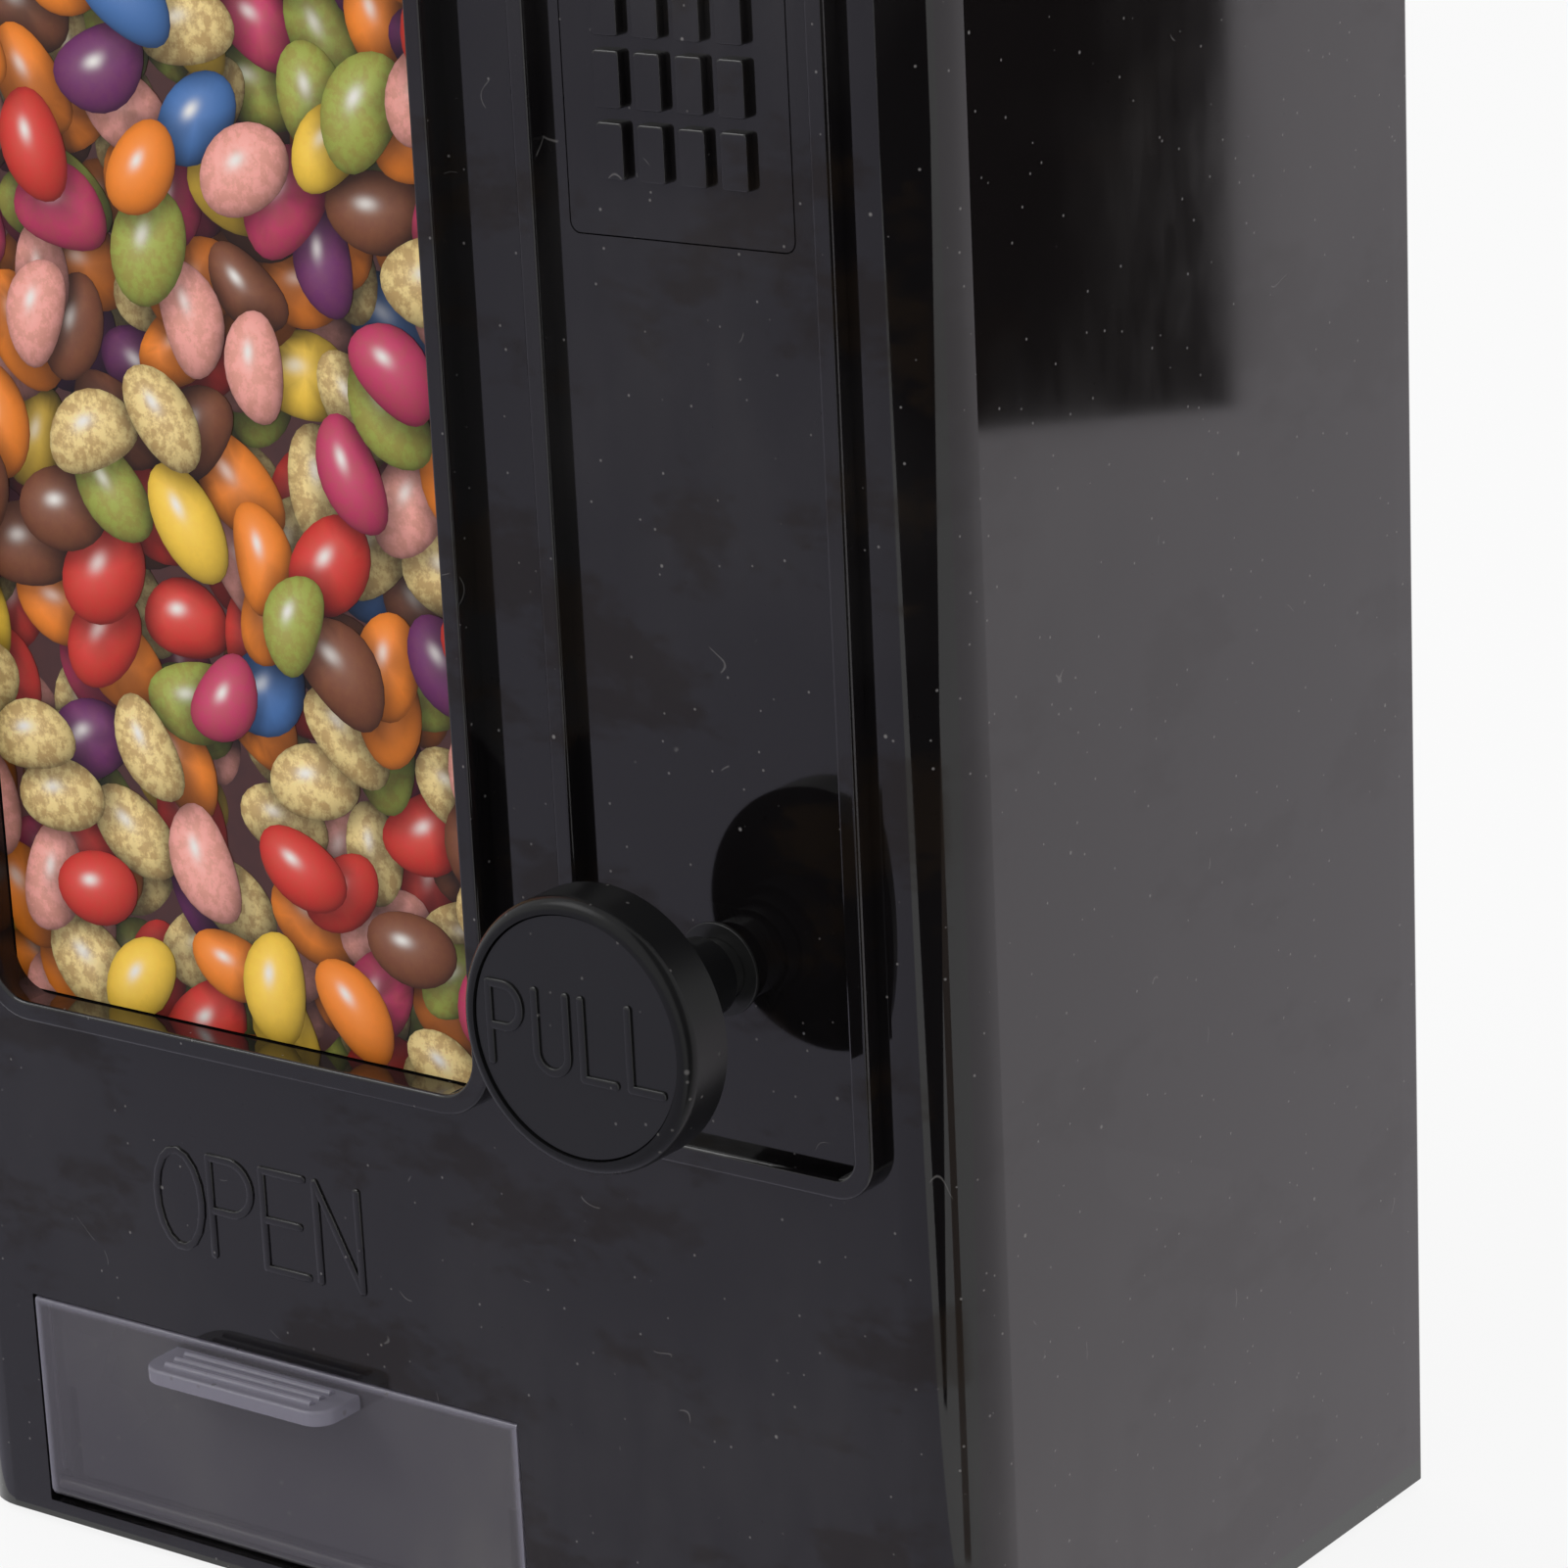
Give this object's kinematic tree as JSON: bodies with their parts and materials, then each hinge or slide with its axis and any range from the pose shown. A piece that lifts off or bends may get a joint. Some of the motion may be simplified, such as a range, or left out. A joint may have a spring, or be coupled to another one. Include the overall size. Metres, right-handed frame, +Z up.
{
  "type": "candy dispenser",
  "caption": "Upright counter-top candy dispenser in smoke plastic with a spring-return pull knob, a sloped bin, a clear delivery flap, a refill lid and a coin drawer.",
  "frame": {"origin": "middle of the housing's footprint, on the surface that the four feet stand on", "axes": "+Z up along the housing's height, -Y out of the front face with the window, knob and flap, +X to the right as seen from the front"},
  "size_m": [0.152, 0.1199, 0.2547],
  "materials": {
    "smoke_shell": "glossy smoke-tinted translucent plastic",
    "black_gloss": "semi-gloss black plastic",
    "black_matte": "satin black plastic",
    "bin_plastic": "satin dark plastic",
    "slide_plastic": "satin black low-friction plastic",
    "clear_flap": "clear smoky plastic, glossy",
    "printed_card": null,
    "steel": "zinc-plated steel",
    "foot_rubber": "matte rubber"
  },
  "bodies": {
    "housing": {"housing_shell": "smoke_shell", "rear_cover": "black_gloss", "rear_cover_screws": "steel", "base_plate": "black_matte", "base_screws": "steel", "rubber_feet": "foot_rubber", "picture_card": "printed_card", "key_plate": "smoke_shell", "coin_plate": "smoke_shell", "coin_chute": "black_matte", "candy_bin": "bin_plastic", "bin_bracket": "black_matte", "slide_track": "black_matte", "mechanism_chassis": "black_matte", "delivery_chute": "black_matte", "catch_tray": "black_matte", "rod_bush": "slide_plastic", "bush_nut": "steel", "return_spring": "steel", "flap_pin": "steel", "lid_pin": "steel"},
    "pull": {"knob_body": "black_gloss", "knob_cap": "black_gloss", "knob_screw": "steel", "pull_rod": "slide_plastic", "rod_cross_pin": "steel", "dispensing_slide": "slide_plastic"},
    "flap": {"delivery_flap": "clear_flap"},
    "lid": {"refill_lid": "black_gloss"},
    "drawer": {"coin_drawer": "black_gloss"}
  },
  "joints": [
    {"name": "knob_pull", "type": "slide", "parent": "housing", "child": "pull", "axis": [0, -1, 0], "range_m": [0, 0.02], "stiffness_N_per_m": 150, "springref_m": -0.008, "deforming": ["return_spring"]},
    {"name": "flap_hinge", "type": "hinge", "parent": "housing", "child": "flap", "pos_m": [-0.024, -0.0459, 0.0054], "axis": [1, 0, 0], "range_deg": [0, 78]},
    {"name": "lid_hinge", "type": "hinge", "parent": "housing", "child": "lid", "pos_m": [0, 0.0395, 0.25305], "axis": [-1, 0, 0], "range_deg": [0, 105]},
    {"name": "drawer_slide", "type": "slide", "parent": "housing", "child": "drawer", "axis": [0, 1, 0], "range_m": [0, 0.08]}
  ]
}
